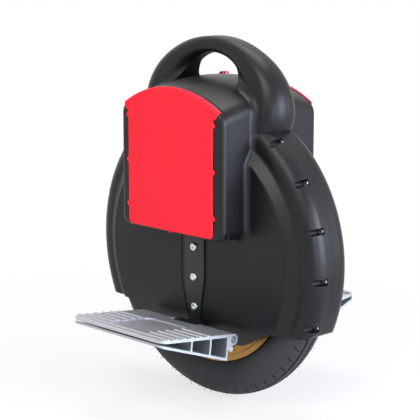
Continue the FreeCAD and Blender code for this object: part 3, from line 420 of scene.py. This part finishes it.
# %% Tyre hairs
TYRE_RADIUS = 203.0
TYRE_HALF = 27.0
SECTION = 28.5
AXLE_HEIGHT = 203.0
HAIR_LENGTH = 5.5
HAIR_RADIUS = 0.42
ROW_STAGGER = 0.37
ROUND = 46
rows = np.array([-21.0, -17.0, -13.0, 13.0, 17.0, 21.0])
grid = (len(rows), ROUND)
chance = np.random.default_rng(7)
step = np.arange(ROUND)[None, :] + chance.uniform(-0.3, 0.3, grid)
turn = (step + np.arange(len(rows))[:, None] * ROW_STAGGER) * 2 * math.pi / ROUND
across = rows[:, None] + chance.uniform(-1.2, 1.2, grid)
foot_radius = TYRE_RADIUS - SECTION * (1 - np.sqrt(1 - (across / TYRE_HALF) ** 2)) - 0.6
room = TYRE_RADIUS - 0.2 - foot_radius
length = np.minimum(room, HAIR_LENGTH) * chance.uniform(0.75, 1.0, grid)
lean = chance.uniform(-0.5, 0.5, grid)


def hair_tubes():
    """Foot + s (radial, leaning) + r(s)(cos w, sin w) across it; r falls to a third."""
    s = np.linspace(0, 1, 4)[:, None]
    w = np.linspace(0, 2 * math.pi, 6)[:-1][None, :]
    thick = HAIR_RADIUS * (1 - 0.65 * s)
    foot, long, angle, tilt, place = (
        a[:, :, None, None] for a in (foot_radius, length, turn, lean, across))
    radius = foot + long * s + thick * np.cos(w) * 0.2
    swing = angle + (tilt * long * s ** 2 + thick * np.cos(w)) / TYRE_RADIUS
    aside = place + np.sign(place) * long * 0.25 * s + thick * np.sin(w)
    height = AXLE_HEIGHT + radius * np.sin(swing)
    return np.stack([radius * np.cos(swing), aside, height], axis=-1) * MM


tubes = hair_tubes().reshape(-1, 20, 3)
ring = np.arange(20).reshape(4, 5)
after = np.roll(ring, -1, axis=1)
sides = np.stack([ring[:-1], after[:-1], after[1:], ring[1:]], axis=-1).reshape(-1, 4)
faces = (sides[None] + 20 * np.arange(len(tubes))[:, None, None]).reshape(-1, 4).tolist()
tips = (np.arange(15, 20)[None] + 20 * np.arange(len(tubes))[:, None]).tolist()
feet = (np.arange(5)[None, ::-1] + 20 * np.arange(len(tubes))[:, None]).tolist()
mesh = bpy.data.meshes.new("tyre_hairs")
mesh.from_pydata(tubes.reshape(-1, 3), [], faces + tips + feet)
turned = bmesh.new()
turned.from_mesh(mesh)
bmesh.ops.recalc_face_normals(turned, faces=turned.faces)
turned.to_mesh(mesh)
turned.free()
mesh.materials.append(tyre_rubber)
hairs = bpy.data.objects.new("tyre_hairs", mesh)
bpy.context.scene.collection.objects.link(hairs)
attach(hairs, "wheel")
print("hairs", len(tubes), "faces", len(mesh.polygons))

# %% [markdown]
# ## Floor and light
# The object stands on a white floor in front of white. The floor gives the eye most of
# its white as its own light, and the rest as lit paper, so that a soft shadow stays.
# The lit share fades out within a metre, where the lamps no longer reach evenly.
# A cool soft box ahead of the wheel draws the long sheen on the box, clear of the
# casing's own rim. A dim one nearer the eye draws the bulge of the rim. A broad one
# high at the side lights the pad, one above lights the tops, and a dim world fills in.

# %% Floor
bpy.ops.mesh.primitive_plane_add(size=30)
floor = bpy.context.object
floor.name = "floor"
paper = bpy.data.materials.new("white_paper")
paper.use_nodes = True
tree = paper.node_tree
tree.nodes.clear()
place = add(tree, "ShaderNodeTexCoord", {}).outputs["Object"]
away = add(tree, "ShaderNodeVectorMath", {0: place}, operation="LENGTH")
glow = add(tree, "ShaderNodeMapRange", {
    "Value": away.outputs["Value"], "From Min": 0.25, "From Max": 1.0, "To Min": 0.74, "To Max": 1.0,
}, interpolation_type="SMOOTHSTEP")
part = add(tree, "ShaderNodeMath", {0: seen_by_eye(tree), 1: glow.outputs[0]}, operation="MULTIPLY")
lit = add(tree, "ShaderNodeBsdfDiffuse", {"Color": linear("#f2f2f2")})
own = add(tree, "ShaderNodeEmission", {"Color": (1, 1, 1, 1), "Strength": 1.0})
both = add(tree, "ShaderNodeMixShader", {0: part.outputs[0], 1: lit.outputs[0], 2: own.outputs[0]})
add(tree, "ShaderNodeOutputMaterial", {"Surface": both.outputs[0]})
floor.data.materials.append(paper)

# %% World
world = bpy.data.worlds.new("studio")
bpy.context.scene.world = world
world.use_nodes = True
tree = world.node_tree
tree.nodes.clear()
dim = add(tree, "ShaderNodeBackground", {"Color": linear("#dfe4ea"), "Strength": 0.45})
white = add(tree, "ShaderNodeBackground", {"Color": (1, 1, 1, 1), "Strength": 1.0})
both = add(tree, "ShaderNodeMixShader", {0: seen_by_eye(tree), 1: dim.outputs[0], 2: white.outputs[0]})
add(tree, "ShaderNodeOutputWorld", {"Surface": both.outputs[0]})
print("world", world.name)


# %% Soft boxes
LAMP_AIM = Vector((0, 0, 0.28))


def soft_box(name, place, size, watts, colour):
    """A flat lamp that faces the middle of the object."""
    lamp = bpy.data.lights.new(name, "AREA")
    lamp.shape = "RECTANGLE"
    lamp.size, lamp.size_y = size
    lamp.energy = watts
    lamp.color = linear(colour)[:3]
    made = bpy.data.objects.new(name, lamp)
    made.location = place
    made.rotation_euler = (LAMP_AIM - made.location).to_track_quat("-Z", "Y").to_euler()
    bpy.context.scene.collection.objects.link(made)


soft_box("key_right", (1.9, 0.5, 0.6), (1.5, 1.1), 58, "#dde8fa")
soft_box("rim_right", (1.8, -0.95, 0.5), (0.8, 0.9), 12, "#dce8ff")
soft_box("front_high", (0.5, -1.9, 1.9), (1.6, 1.2), 28, "#fffdf8")
soft_box("top", (-0.2, 0.3, 2.3), (1.4, 1.4), 22, "#ffffff")
